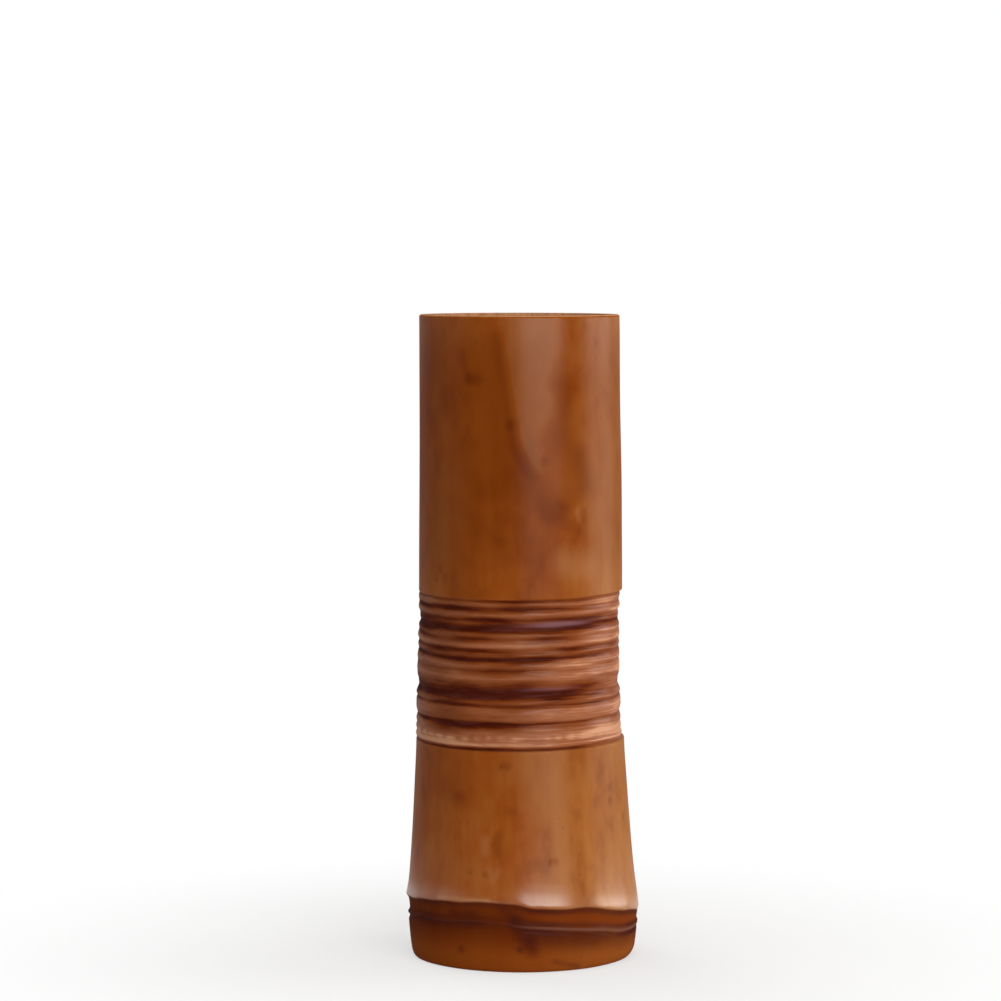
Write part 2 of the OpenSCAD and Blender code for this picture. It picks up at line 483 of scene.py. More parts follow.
        ([(-20.4, 225.8), (-17.0, 225.9)], 1.2, 2.4, 0.6),
        ([(-23.4, 236), (-22.6, 231), (-20.6, 227)], 0.8, 2.2, 0.42),
        ([(-32.3, 220), (-32.0, 215)], 1.8, 4.2, 0.3),
        ([(-39.3, 211), (-39.0, 204)], 1.2, 3.0, 0.25),
        ([(-37.9, 197), (-37.5, 189)], 1.2, 3.0, 0.25),
        ([(-17.8, 202), (-17.8, 201)], 1.2, 3.0, 0.2),
        ([(14.5, 224.6), (19.5, 222.8)], 2.2, 4.4, 0.26),
        ([(18.0, 217), (18.2, 214)], 1.6, 4.4, 0.26),
        ([(22.8, 228), (28.7, 223)], 1.0, 4.0, 0.14),
        ([(9.4, 195.4), (9.5, 194.8)], 0.8, 1.6, 0.45),
        ([(14.0, 204), (22.0, 197), (25.0, 186)], 3.0, 6.5, 0.34),
        ([(25.0, 197), (29.0, 184)], 2.0, 6.0, 0.2),
        ([(15.5, 231), (16.5, 208)], (0.8, 1.8), 5.0, 0.22),
        ([(-24.0, 190), (-16.0, 186)], 2.2, 6.0, 0.2),
        ([(-9.0, 168), (-7.0, 160)], 1.8, 5.0, 0.18),
        ([(6.0, 185), (12.0, 183), (20.0, 181)], 2.0, 5.0, 0.14),
        ([(8.6, 177.6), (12.6, 175.6), (15.0, 176.2)], 2.3, 3.4, 0.42),
        ([(10.0, 173), (15.0, 172.5), (19.5, 170.2)], 1.6, 3.4, 0.34),
        ([(14.0, 178.6), (18.6, 177.2)], 1.2, 3.0, 0.22),
        ([(22.6, 176.5), (23.2, 172)], 0.6, 2.2, -0.2),
        ([(26.0, 175.5), (25.8, 171.5)], 0.8, 2.2, 0.35),
        ([(23.6, 168.4), (22.4, 166)], 1.0, 2.2, 0.4),
        ([(-15.3, 184), (-15.2, 181)], 1.6, 4.0, 0.18),
        ([(-26.0, 178), (-20.0, 172)], 3.0, 7.0, 0.22),
        ([(-9.5, 165), (-7.4, 164.6)], 1.0, 2.6, 0.32),
        ([(-36.0, 153.4), (-35.4, 152.4)], 0.6, 1.4, 0.35),
        ([(-33.0, 150.4), (-32.6, 149.6)], 0.6, 1.4, 0.35),
        ([(-38.2, 149.6), (-38.0, 148.6)], 0.5, 1.2, 0.35),
        ([(18.0, 156), (27.0, 154)], 3.4, 6.0, -0.24),
        ([(-7.0, 78.9), (-5.4, 78.9)], 1.0, 2.2, 0.42),
        ([(-33.0, 68), (-28.0, 67.8), (-24.9, 66.4)], 2.4, 5.5, 0.26),
        ([(-26.4, 66.4), (-24.0, 66)], 1.0, 2.4, 0.24),
        ([(-4.0, 62.2), (-3.0, 61.4)], 0.8, 1.8, 0.34),
        ([(40.5, 68.6), (40.6, 68.2)], 0.9, 1.4, 0.5),
        ([(40.3, 63.7), (40.3, 63.3)], 0.9, 1.4, 0.5),
        ([(22.4, 60.0), (22.5, 59.4)], 0.9, 1.8, 0.3),
        # painted sheen: a pale strip down the lower body, widening towards the lip
        ([(12.0, 82.0), (12.4, 54.0), (12.8, 34.0)], (3.5, 3.5, 5.0), 6.0, -0.2),
        ([(-9.0, 52.5), (-9.9, 49), (-9.2, 45.5)], 0.9, 2.0, 0.36),
        ([(-14.1, 50.4), (-14.3, 46)], 1.0, 2.4, -0.24),
        ([(-13.0, 39), (-11.3, 35.5), (-9.4, 39)], 0.5, 2.2, -0.2),
        ([(-20.8, 38.4), (-20.6, 37.8)], 0.6, 1.2, 0.4),
        ([(-14.6, 37.7), (-14.4, 37.1)], 0.6, 1.2, 0.4),
        ([(11.0, 42.8), (11.2, 42.2)], 0.5, 1.0, 0.4),
        ([(13.4, 42.7), (13.6, 42.1)], 0.5, 1.0, 0.4),
        # painted highlight: a thin bright line along the ridge's left end
        ([(-36.0, 27.0), (-27.0, 27.6), (-13.0, 27.8)], 0.35, 1.1, -0.45),
        ([(-8.0, 26.0), (-5.0, 22.0), (-2.0, 19.0)], 1.6, 2.6, 0.4),
        ([(-25.4, 8.2), (-25.0, 7.8)], 0.8, 1.6, 0.5),
        ([(-1.8, 9.2), (-1.4, 8.8)], 0.7, 1.6, 0.5),
        ([(-3.0, 19.5), (0.5, 15.5), (3.4, 9.0)], (1.8, 3.0, 1.4), 3.4, 0.75),
        ([(8.0, 15.5), (22.0, 13.6), (36.0, 11.6)], (0.8, 1.2, 0.6), 2.4, 0.3),
        ([(-30.0, 22.0), (-26.0, 21.6), (-20.0, 22.4)], 0.7, 1.8, 0.5),
        ([(11.9, 4.4), (16.5, 3.0), (21.5, 1.8)], 0.5, 1.6, 0.4),
        ([(4.0, 13.4), (16.0, 12.0), (30.0, 10.4)], (1.4, 1.8, 0.8), 3.4, 0.34),
    ],
    # random marks for the sides and back: half of them are shorter, and an arc past half a
    # turn is counted from the other side
    "backMarks": {
        "count": 70,
        "seed": 31,
        "arc": (48, 200),
        "halfTurn": 125,
        "heights": [(2, 12), (32, 80), (148, 242)],
        "shares": [0.1, 0.35, 0.55],
        "length": (0.5, 9),
        "shorter": 0.3,
        "lean": 0.25,
        "halfWidth": (0.6, 2.4),
        "softness": (1, 3),
        "strength": (-0.1, 0.5),
    },
}


# A wave of the culm by its name in the table, over angles and heights.
def culmWave(name, turn, height=0):
    size, crests, length, seed = culm["waves"][name]
    return size * ripple(turn, height, crests, length, seed)


# Sum of the marks at points of the skin: each mark's strength within its half width of
# its path, and less to nothing over its soft edge. A mark may have a width at each point.
def paintMarks(arc, height, strokes):
    total = np.zeros(arc.shape)
    for path, halfWidth, soft, strength in strokes:
        widths = np.broadcast_to(halfWidth, len(path))
        nearest = np.full(arc.shape, 1e9)
        for (s0, z0), (s1, z1), w0, w1 in zip(path[:-1], path[1:], widths[:-1], widths[1:]):
            ds, dz = s1 - s0, z1 - z0
            t = np.clip(((arc - s0) * ds + (height - z0) * dz) / (ds * ds + dz * dz), 0, 1)
            away = np.hypot(arc - s0 - t * ds, height - z0 - t * dz)
            nearest = np.minimum(nearest, away - w0 - t * (w1 - w0))
        total += strength * (1 - smoothStep(-soft / 2, soft, nearest))
    return total


# Marks for the sides and back, at random places clear of the front.
def backMarks():
    b = culm["backMarks"]
    rng = np.random.default_rng(b["seed"])
    made = []
    for _ in range(b["count"]):
        arc = rng.uniform(*b["arc"])
        height = rng.choice([rng.uniform(*pair) for pair in b["heights"]], p=b["shares"])
        length = rng.uniform(*b["length"]) * rng.choice([b["shorter"], 1])
        aside = rng.normal(0, b["lean"]) * length
        if arc >= b["halfTurn"]:
            arc -= 2 * b["halfTurn"]
        path = [(arc, height), (arc + aside, height - length)]
        halfWidth, soft = rng.uniform(*b["halfWidth"]), rng.uniform(*b["softness"])
        made.append((path, halfWidth, soft, rng.uniform(*b["strength"])))
    return made


# Levels of the culm's outer rows, close together where the skin turns or is carved.
def culmLevels():
    c = culm
    top = c["height"]
    upper = (c["rows"][-1][1], top - c["mouthRows"][0], c["upperSpacing"])
    stretches = [spaced(*row) for row in [*c["rows"], upper]]
    mouth = [top - down for down in [*c["mouthRows"], c["rimRound"]]]
    return np.concatenate([c["footRows"], *stretches, mouth])[:, None]


# Heights of the outer points: each row's level, moved near the node so that the ridge
# and the scar follow their curves by angle, and moved in the band so that its rings lie
# in a tilted, slightly dished surface.
def culmHeights(turn, degrees, levels):
    c = culm
    ridgeMove = ringCurve(c["ridgeHeight"], degrees) - c["ridge"] + culmWave("ridgeLine", turn)
    scarMove = ringCurve(c["scarHeight"], degrees) - c["scar"] + culmWave("scarLine", turn)
    toScar = smoothStep(c["nodeStart"], c["scar"], levels)
    toRidge = smoothStep(c["scar"], c["ridge"], levels)
    near = 1 - smoothStep(c["ridge"], c["nodeReach"], levels)
    height = levels + (scarMove * toScar * (1 - toRidge) + ridgeMove * toRidge) * near
    tilt = c["bandBack"] * (1 - np.cos(turn)) + c["bandRight"] * np.sin(turn) - c["bandDrop"]
    return height + tilt * np.exp(-(((levels - c["bandMiddle"]) / c["bandReach"]) ** 6))


# The carved band: its share of the skin, its depth under the skin, the level of each
# point among the rings, and how much of a gap in the row of dashes is there. The depth is
# what is pared away less the height of the rings.
def carveBand(turn, levels):
    c, d = culm, culm["dashes"]
    wander = culmWave("ringWander", turn, levels) + culmWave("ringShiver", turn, levels)
    ringLevel = levels + wander * plateau(c["wanderEdges"], levels)
    cut = plateau(c["bandEdges"], levels)
    # dashes: a wave round the culm, strong at one level only
    dashes = 0.5 + 0.5 * np.cos(d["count"] * turn + culmWave("dashSpacing", turn))
    strength = np.clip(d["strength"] + culmWave("dashStrength", turn), 0, 1)
    gaps = bell(ringLevel, d["level"], d["tall"]) * strength * (1 - smoothStep(*d["ends"], dashes))
    deeper = np.clip(1 + culmWave("grooveDepth", turn, levels), *c["grooveRange"])
    rings = smoothCurve(c["bandShape"], ringLevel) * deeper - d["depth"] * gaps
    pared = c["pared"] + c["paredRight"] * np.sin(turn) + culmWave("pared", turn, levels)
    pared = np.maximum(pared, c["paredLeast"])
    return cut, cut * (pared - rings + culmWave("raggedCut", turn, levels)), ringLevel, gaps


# How far the node stands out: its section by level, times its depth by angle, with a
# rough skin between two levels.
def nodeRelief(turn, degrees, levels):
    c = culm
    node = smoothCurve(c["node"], levels - c["ridge"]) * ringCurve(c["nodeDepth"], degrees)
    rough = culmWave("nodeSkin", turn, levels) * plateau(c["roughEdges"], levels)
    return node * (1 + culmWave("nodeDepth", turn)) + rough


# How far the foot's edge is rounded in: a quarter of an ellipse, as tall and as deep as
# its two curves by angle say.
def footRounding(degrees, height):
    tall = ringCurve(culm["footRoundHeight"], degrees)
    inward = ringCurve(culm["footRoundIn"], degrees)
    t = np.clip(height / tall, 0, 1)
    return inward * (1 - np.sqrt(1 - (1 - t) ** 2))


# Radius and height of the rim: a quarter circle inwards from the top of the skin.
def culmRim(turn, edge):
    rim = culm["rimRound"]
    a = np.radians(np.linspace(0, 90, culm["rimSteps"] + 1)[1:])[:, None]
    return edge - rim * (1 - np.cos(a)), culm["height"] - rim * (1 - np.sin(a)) + 0 * turn


# Radii and heights of the section from the rim inwards: the cut face, the rebate with its
# shelf, the bore, and the flat under the foot. Sharp edges are broken by `soft`.
def culmInside():
    c = culm
    top, rebate, bore, soft = c["height"], c["rebate"], c["bore"], c["edgeRound"]
    shelf, bevel = top - c["rebateDepth"], soft / 3
    section = [(rebate + out, top) for out in c["cutFace"]]
    section += [(rebate + soft + bevel, top), (rebate + 0.6 * bevel, top - bevel)]
    section += [(rebate, top - soft)]
    section += [(rebate, top - down) for down in c["rebateRows"]]
    section += [(rebate, shelf + soft / 2), (rebate - soft / 2, shelf), (bore + soft, shelf)]
    section += [(bore + bevel / 2, shelf - bevel), (bore, shelf - soft)]
    section += [(bore, height) for height in c["boreRows"]]
    section += [(bore, soft + bevel), (bore + bevel, bevel), (bore + soft + bevel, 0)]
    section += [(radius, 0) for radius in c["footFace"]]
    return np.array(section).T[:, :, None] * np.ones(c["columns"])


# Sum of soft ovals: each share times e to the minus cube of the distance from the oval's
# middle, counted in its own half lengths and half heights.
def ovals(rows, degrees, level):
    return sum(
        share * np.exp(-((((degrees - at) / long) ** 2 + ((level - z) / tall) ** 2) ** 1.5))
        for at, z, long, tall, share in rows
    )


# What the band's colour reads: tone by level, with patches, dashes and a lightening by angle
# that is partly painted light, and the painted violet highlight on the soot.
def paintBand(turn, degrees, levels, ringLevel, gaps, cut):
    c = culm
    level, tall, lighter = c["deepGroove"]
    tone = smoothCurve(c["bandTone"], ringLevel) + culmWave("ringTone", turn, levels)
    tone = tone + ovals(c["bandPatches"], degrees, ringLevel) - c["dashes"]["darker"] * gaps
    # lighter towards the right: partly painted light, partly the wood's own tone
    tone = tone + ringCurve(c["bandLightAndTone"], degrees)
    tone = tone + lighter * bell(ringLevel, level, tall) * (1 - ringCurve(c["deepSoot"], degrees))
    # painted highlight: violet glint on the soot in the grooves
    violetGlint = cut * ovals(c["violetGlints"], degrees, ringLevel)
    return {"cut": cut, "tone": np.clip(tone, 0, c["toneMost"]), "violetGlint": violetGlint}


# What the skin's colour reads: marks in the stain, some of them painted highlights, painted
# light on its right side and how dark it is by height, the foot with painted shade in its
# cove, and the painted shade lines and glint round the node.
def paintSkin(turn, degrees, levels, height):
    c = culm
    side = np.sin(turn)
    under = c["ridge"] - levels
    stripe = {name: bell(under, *place) for name, place in c["stripes"].items()}
    lipLow, lipHigh = c["lipEdge"]
    below = 1 - smoothStep(c["ridge"] + lipLow, c["ridge"] + lipHigh, levels)
    # painted shade: dark lines under the lip and on both sides of the sheath's scar, with the
    # scar's own dark line
    rightward = smoothStep(*c["darkTurn"], side)
    lines = sum(
        (atLeft + (atRight - atLeft) * rightward) * bell(under, at, wide)
        for at, wide, atLeft, atRight in c["darkLines"]
    )
    # painted light on the right side, beginning further right high up
    paintedLightLow, paintedLightRise, paintedLightFrom, paintedLightTo = c["paintedLightStart"]
    paintedLightStart = paintedLightLow + paintedLightRise * smoothStep(paintedLightFrom, paintedLightTo, levels)
    arc = np.radians(degrees) * smoothCurve(c["outline"], height)
    return {
        "stainAndSheen": paintMarks(arc, height, c["marks"] + backMarks()),
        "below": below,
        # painted shade in the cove under the lip, darker towards the lip
        "wet": below * smoothStep(*c["coveEdge"], levels),
        # painted shade under the lip and round the sheath ring, with the scar's own dark line
        "scarLine": lines * (1 + culmWave("darkLines", turn, levels)),
        # painted highlight: the grey glint on the raised sheath ring
        "sheath": stripe["sheath"] * ringCurve(c["sheathGlintByAngle"], degrees),
        "redder": below * stripe["red"] * smoothStep(*c["redTurn"], side),
        "sun": smoothStep(paintedLightStart, 1.0, side) * smoothCurve(c["paintedLightByHeight"], levels),
        "deepen": smoothCurve(c["deepen"], levels),
        "gloss": smoothCurve(c["coat"], levels)
        + (c["lipCoat"] * stripe["lip"] + c["skirtCoat"] * stripe["skirt"]) * (1 - below),
    }


# The culm as one closed section carried round the axis: the outside from the foot up,
# the rim, and the inside down to the flat under the foot. The outside's radius is the
# outline with its flutes, plus the node, less the band and the foot's rounding.
def buildCulm(material):
    c = culm
    turn = columnAngles(c["columns"])
    degrees = np.degrees(turn)
    degrees = np.where(degrees > 180, degrees - 360, degrees)
    levels = culmLevels()
    height = culmHeights(turn, degrees, levels)
    cut, depth, ringLevel, gaps = carveBand(turn, levels)
    skin = smoothCurve(c["outline"], height) + culmWave("flutes", turn)
    skin = skin + culmWave("fibres", turn, height)
    radius = skin + nodeRelief(turn, degrees, levels) - depth - footRounding(degrees, height)
    rimRadius, rimHeight = culmRim(turn, radius[-1:])
    insideRadius, insideHeight = culmInside()
    faceRows = len(c["unevenFace"])
    insideRadius[:faceRows] += culmWave("cutFace", turn) * np.array(c["unevenFace"])[:, None]
    allRadius = np.concatenate([radius, rimRadius, insideRadius])
    allHeight = np.concatenate([height, rimHeight, insideHeight])
    rimStart = len(levels)
    insideStart = rimStart + len(rimRadius)

    # the section leans with the skin, less and less across the cut face
    lean = np.zeros(allRadius.shape)
    lean[:rimStart] = smoothCurve(c["lean"], height)
    mouthLean = lean[rimStart - 1]
    lean[rimStart:insideStart] = mouthLean
    lean[insideStart:insideStart + faceRows] = mouthLean * np.array(c["leanFade"])[:, None]
    lean[-1] = c["leanFoot"] * c["lean"][0][1]

    # what the material reads: the outside's own values, and one each for rim and inside
    def everywhere(outer, rimValue=0.0, insideValue=0.0):
        values = np.full(allRadius.shape, insideValue)
        values[:rimStart] = outer
        values[rimStart:insideStart] = rimValue
        return values

    paint = paintBand(turn, degrees, levels, ringLevel, gaps, cut)
    paint |= paintSkin(turn, degrees, levels, height)
    attributes = {name: everywhere(values) for name, values in paint.items()}
    attributes["tone"] = everywhere(paint["tone"], 0.5, 0.5)
    attributes["gloss"] = everywhere(paint["gloss"], c["rimCoat"])
    attributes["inside"] = everywhere(0.0, 0.0, 1.0)
    # end grain shows on the rim, on the cut face and under the foot
    grain = everywhere(0.0)
    grain[rimStart + c["grainStart"]:insideStart + faceRows] = 1
    grain[-1 - len(c["footFace"]):] = 1
    attributes["grain"] = grain
    points = turnedPoints(allRadius, turn, allHeight, lean)
    made = gridObject("culm_body", points, True, attributes, material)
    print("culm:", len(made.data.vertices), "vertices")
    return made


# Materials

bambooLook = {
    "light": (0.37, 0.166, 0.045),
    "mid": (0.25, 0.060, 0.006),
    "dark": (0.13, 0.023, 0.001),
    "mark": (0.10, 0.016, 0.001),
    # lighter marks: faded stain, and painted sheen for the highlight marks
    "fadedAndSheen": (0.38, 0.185, 0.08),
    "foot": (0.18, 0.038, 0.004),
    # painted shade: the dark cove under the lip
    "cove": (0.078, 0.010, 0.001),
    # painted highlight: the grey glint on the raised sheath ring
    "sheath": (0.15, 0.065, 0.045),
    "red": (0.17, 0.03, 0.003),
    "shadow": (0.05, 0.008, 0.004),
    "soot": (0.046, 0.006, 0.002),
    "purple": (0.07, 0.016, 0.012),
    # painted highlight: the violet glint on the soot
    "violetGlint": (0.17, 0.075, 0.085),
    "cutDark": (0.105, 0.018, 0.002),
    "cutWood": (0.175, 0.043, 0.010),
    "cutLight": (0.26, 0.086, 0.036),
    "cutPale": (0.45, 0.21, 0.112),
    "endWood": (0.56, 0.27, 0.13),
    "bore": (0.50, 0.24, 0.12),
    "endDots": (0.25, 0.1, 0.04),
    "boreStreaks": (0.34, 0.15, 0.07),
    "roughness": 0.5,
    "coatRoughness": 0.29,
    # noise in the wood: scale per metre across and along, detail, roughness and offset
    "noise": {
        "fibres": (900, 9, 4.0, 0.6, 0.0),
        "streaks": (150, 5, 3.0, 0.5, 3.0),
        "clouds": (30, 14, 3.0, 0.55, 7.0),
        "mottle": (140, 80, 3.0, 0.6, 11.0),
        "grime": (620, 420, 2.0, 0.6, 19.0),
        "scratches": (28, 1300, 3.0, 0.55, 23.0),
        "rubbed": (60, 380, 3.0, 0.6, 31.0),
        "bore": (500, 7, 3.0, 0.6, 29.0),
    },
    # scattered points: cells per metre across and along
    "specks": (230, 120),
    "dots": (1300, 1300),
    # how much each noise shifts the stain between dark and light, and where it is centred
    "cloudShift": 1.4,
    "streakShift": 0.4,
    "mottleShift": 0.7,
    "stainCentre": 0.52,
    # how far each layer covers what is under it
    "fibreShare": 0.22,
    "footShare": 0.85,
    "speckShare": 0.5,
    "redShare": 0.6,
    "lineShare": 0.8,
    "sheathShare": 0.75,
    # the band's wood from deep soot to pale: tones between which each colour takes over
    "cutSteps": {
        "cutDark": (0.02, 0.36), "cutWood": (0.2, 0.5), "cutLight": (0.45, 0.8),
        "cutPale": (0.8, 1.1),
    },
}


# Colour of the skin, with how much of it is marked: clouds of lighter and darker stain
# drawn out along the fibres, painted light on the right side, then the foot with painted
# shade in its cove, the marks with their painted highlights, the painted shade lines and the
# painted glint round the node.
def skinColour(g, noises):
    look = bambooLook
    stainAndSheen, below, mottle = g.attribute("stainAndSheen"), g.attribute("below"), noises["mottle"]
    share = (noises["clouds"] - 0.5) * look["cloudShift"] + look["stainCentre"]
    share = share + (noises["streaks"] - 0.5) * look["streakShift"]
    share = share + (mottle - 0.5) * look["mottleShift"]
    skin = g.mix(share.between(0.0, 0.6), look["dark"], look["mid"])
    # lighter clouds of stain, and painted light on the right side where the lamps fall
    skin = g.mix((share - 0.55) * 0.9 + g.attribute("sun"), skin, look["light"])
    skin = g.mix(g.attribute("deepen"), skin, look["dark"])
    darkFibres = ((noises["fibres"] - 0.5) * 1.2).between(0.0, 0.5)
    skin = g.mix(darkFibres * look["fibreShare"], skin, look["dark"])
    # painted shade: the foot turns darker towards the lip, in the cove under it
    foot = g.mix(g.attribute("wet"), look["foot"], look["cove"])
    skin = g.mix(below * look["footShare"], skin, foot)
    specks = (1.0 - g.cells(*look["specks"]).between(0.03, 0.11)) * mottle.between(0.5, 0.62)
    marked = stainAndSheen.atLeast(0.0) * (mottle * 1.6 + 0.2)
    markColour = g.mix(below, look["mark"], look["shadow"])
    skin = g.mix(marked + specks * look["speckShare"], skin, markColour)
    # lighter marks: faded stain, and the painted sheen and highlight
    skin = g.mix((stainAndSheen * -1.0).atLeast(0.0), skin, look["fadedAndSheen"])
    skin = g.mix(g.attribute("redder") * look["redShare"], skin, look["red"])
    # painted shade lines under the lip and round the sheath ring
    skin = g.mix(g.attribute("scarLine") * look["lineShare"], skin, look["shadow"])
    # painted highlight on the sheath ring
    return g.mix(g.attribute("sheath") * look["sheathShare"], skin, look["sheath"]), marked


# Colour of the carved band: bare wood on the rings and soot in the grooves, scratched
# round the culm, more so on the side with painted light.
def bandColour(g, noises, tone):
    look = bambooLook
    rubbed = noises["rubbed"]
    wood = tone + (noises["scratches"] - 0.5) * (g.attribute("sun") * 1.5 + 0.4)
    wood = wood + (rubbed - 0.5) * 0.6
    carved = g.mix((rubbed - 0.45) * 4.0, look["soot"], look["purple"])
    for name, (start, end) in look["cutSteps"].items():
        carved = g.mix(wood.between(start, end), carved, look[name])
    # painted violet highlight on the soot
    return g.mix(g.attribute("violetGlint"), carved, look["violetGlint"])


# The culm's material: skin and carved band outside, a streaky bore, pale cut ends, and
# lacquer on all but the bare wood.
def bambooMaterial():
    look = bambooLook
    g = Graph("bamboo")
    noises = {name: g.noise(*row) for name, row in look["noise"].items()}
    cut, tone = g.attribute("cut"), g.attribute("tone")
    inside, grain = g.attribute("inside"), g.attribute("grain")
    skin, marked = skinColour(g, noises)
    colour = g.mix(cut, skin, bandColour(g, noises, tone))
    # cut ends: pale wood with the dark dots of the fibre bundles
    dots = g.cells(*look["dots"])
    end = g.mix(dots.between(0.12, 0.38), look["endDots"], look["endWood"])
    bore = g.mix(noises["bore"].between(0.35, 0.7), look["bore"], look["boreStreaks"])
    colour = g.mix(grain, g.mix(inside, colour, bore), end)
    bare = inside.atLeast(grain)
    roughness = (noises["grime"] - 0.5) * 0.16 + look["roughness"] + marked * 0.1 + bare * 0.25
    relief = g.bump(noises["fibres"] * 0.6 + noises["streaks"] * 0.4, 0.0002, 0.25)
    relief = g.bump(noises["scratches"] * cut, 0.0004, 0.35, relief)
    relief = g.bump(dots * bare, 0.0002, 0.4, relief)
    # lacquer: hardly any on bare wood, and less in the band's grooves
    lacquer = (1.0 - bare * 0.95) * (1.0 - cut * (1.0 - tone.between(0.1, 0.6)) * 0.8)
    return g.surface({
        "Base Color": colour,
        "Roughness": roughness.atMost(0.9),
        "Specular IOR Level": 0.0,
        "Coat Weight": lacquer * g.attribute("gloss"),
        "Coat Roughness": look["coatRoughness"],
        "Normal": relief,
    })


septumLook = {
    "pale": (0.5, 0.32, 0.15),
    "dark": (0.26, 0.13, 0.05),
    "roughness": 0.75,
    "fibres": (420, 420, 5.0, 0.65, 0.0),
    "patches": (60, 60, 3.0, 0.5, 5.0),
    "rings": 14.0,
    "ringWander": 3.0,
}


# Raw wood, darker in fibres, patches and faint rings, and towards the tube.
def septumMaterial():
    look = septumLook
    g = Graph("septum_wood")
    fibres, patches = g.noise(*look["fibres"]), g.noise(*look["patches"])
    reach = g.attribute("reach")
    rings = reach * look["rings"] + patches * look["ringWander"]
    ringLines = rings.sine() * 0.5 + 0.5
    share = fibres.between(0.35, 0.75) * 0.5 + patches.between(0.4, 0.7) * 0.3 + ringLines * 0.15
    colour = g.mix(share + reach.between(0.75, 1.0) * 0.4, look["pale"], look["dark"])
    return g.surface({
        "Base Color": colour,
        "Roughness": fibres * 0.15 + look["roughness"],
        "Specular IOR Level": 0.3,
        "Normal": g.bump(fibres + ringLines * 0.2, 0.0006, 0.6),
    })


linerLook = {
    "milk": (0.72, 0.72, 0.68),
    "shade": (0.62, 0.63, 0.6),
    "roughness": 0.38,
    "flow": (40, 12, 3.0, 0.5, 0.0),
    "fine": (1800, 1800, 2.0, 0.5, 4.0),
    "handling": (240, 90, 4.0, 0.6, 9.0),
}


# Milky moulded plastic, with faint flow marks, a fine grain and worn places.
def linerMaterial():
    look = linerLook
    g = Graph("liner_plastic")
    flow, fine, handling = (g.noise(*look[name]) for name in ("flow", "fine", "handling"))
    colour = g.mix(flow.between(0.35, 0.75) * 0.6, look["milk"], look["shade"])
    return g.surface({
        "Base Color": colour,
        "Roughness": (handling - 0.5) * 0.2 + look["roughness"],
        "Subsurface Weight": 0.15,
        "Subsurface Radius": (0.002, 0.002, 0.002),
        "Specular IOR Level": 0.45,
        "Normal": g.bump(fine, 0.00006, 0.3),
    })


# Septum and liner

septum = {
    "centre": 19.0,
    "slopeX": -0.0419,
    "slopeY": -0.114,
    "half": 1.8,
    "flare": 1.0,
    "radius": 31.0,
    "innerReach": 0.04,
    "smoothReach": 0.25,  # share of the radius up to which the middle is smoother
    "columns": 192,
    "rings": 26,
    # waves: size, most crests round, least length outwards, and seed
    "waves": [(0.12, 9, 12, 41), (0.07, 40, 5, 42)],
    "waveRadius": 30,
    "hollowAbove": 0.3,
    "hollowBelow": 0.2,
    "lowerWaves": 0.8,
}


# The node's wall: a disc on the node's slanting plane, whose half thickness is
# half + flare * reach^6, less a slight hollow, and whose skin is wavy with the fibres.
def buildSeptum(material):
    p = septum
    turn = columnAngles(p["columns"])
    reach = np.linspace(p["innerReach"], 1, p["rings"])[:, None]
    radius = p["radius"] * reach
    plane = p["centre"] + radius * (p["slopeX"] * np.sin(turn) - p["slopeY"] * np.cos(turn))
    half = p["half"] + p["flare"] * reach ** 6
    rough = sum(
        size * ripple(turn, p["waveRadius"] * reach, crests, length, seed)
        for size, crests, length, seed in p["waves"]
    )
    rough = rough * smoothStep(0.0, p["smoothReach"], reach)
    upper = plane + half + rough - p["hollowAbove"] * (1 - reach ** 2)
    lower = plane - half + rough * p["lowerWaves"] + p["hollowBelow"] * (1 - reach ** 2)
    under, over = turnedPoints(radius, turn, lower), turnedPoints(radius, turn, upper)
    points = np.concatenate([under, over[::-1]])
    attributes = {"reach": np.concatenate([reach, reach[::-1]])}
    made = gridObject("septum_wall", points, False, attributes, material)
    print("septum:", len(made.data.vertices), "vertices")
    return made


liner = {
    "columns": 180,
    "steps": 5,
    # section from the middle of its underside, out and up, over the flange and down the
    # inside to the middle of its floor: radius, height and size of the rounding
    "section": [
        (3.0, 39.0, 0.2), (23.4, 39.0, 0.5), (24.4, 38.0, 0.4), (26.3, 38.0, 0.8),
        (27.8, 39.5, 0.8), (28.52, 140.0, 2.0), (29.3, 246.0, 0.25), (34.1, 246.0, 0.3),
        (34.1, 247.8, 0.5), (28.4, 247.8, 0.6), (27.8, 247.2, 0.5), (27.0, 140.0, 2.0),
        (26.3, 42.5, 1.2), (24.3, 40.5, 1.2), (3.0, 40.5, 0.2),
    ],
    # how much the walls draw in between the mould's ribs, and heights over which that
    # comes and goes
    "sink": 0.04,
    "ribs": 6,
    "sinkEdges": [(45, 90), (190, 235)],
}


# The cup: its rounded section carried round the axis, with the walls drawn in by a
# cosine of the number of ribs times the angle.
def buildLiner(material):
    p = liner
    turn = columnAngles(p["columns"])
    section = roundedSection(p["section"], p["steps"])
    radius, height = section[:, :1], section[:, 1:]
    sink = p["sink"] * plateau(p["sinkEdges"], height)
    radius = radius + sink * np.cos(p["ribs"] * turn)
    points = turnedPoints(radius, turn, height)
    made = gridObject("liner_cup", points, False, {}, material)
    print("liner:", len(made.data.vertices), "vertices")
    return made


bamboo = buildCulm(bambooMaterial())
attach(bamboo, "vase")
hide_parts("culm")

wall = buildSeptum(septumMaterial())
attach(wall, "vase")
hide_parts("septum")

cup = buildLiner(linerMaterial())
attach(cup, "liner")
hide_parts("water_liner")
print("pieces ready")


# Studio

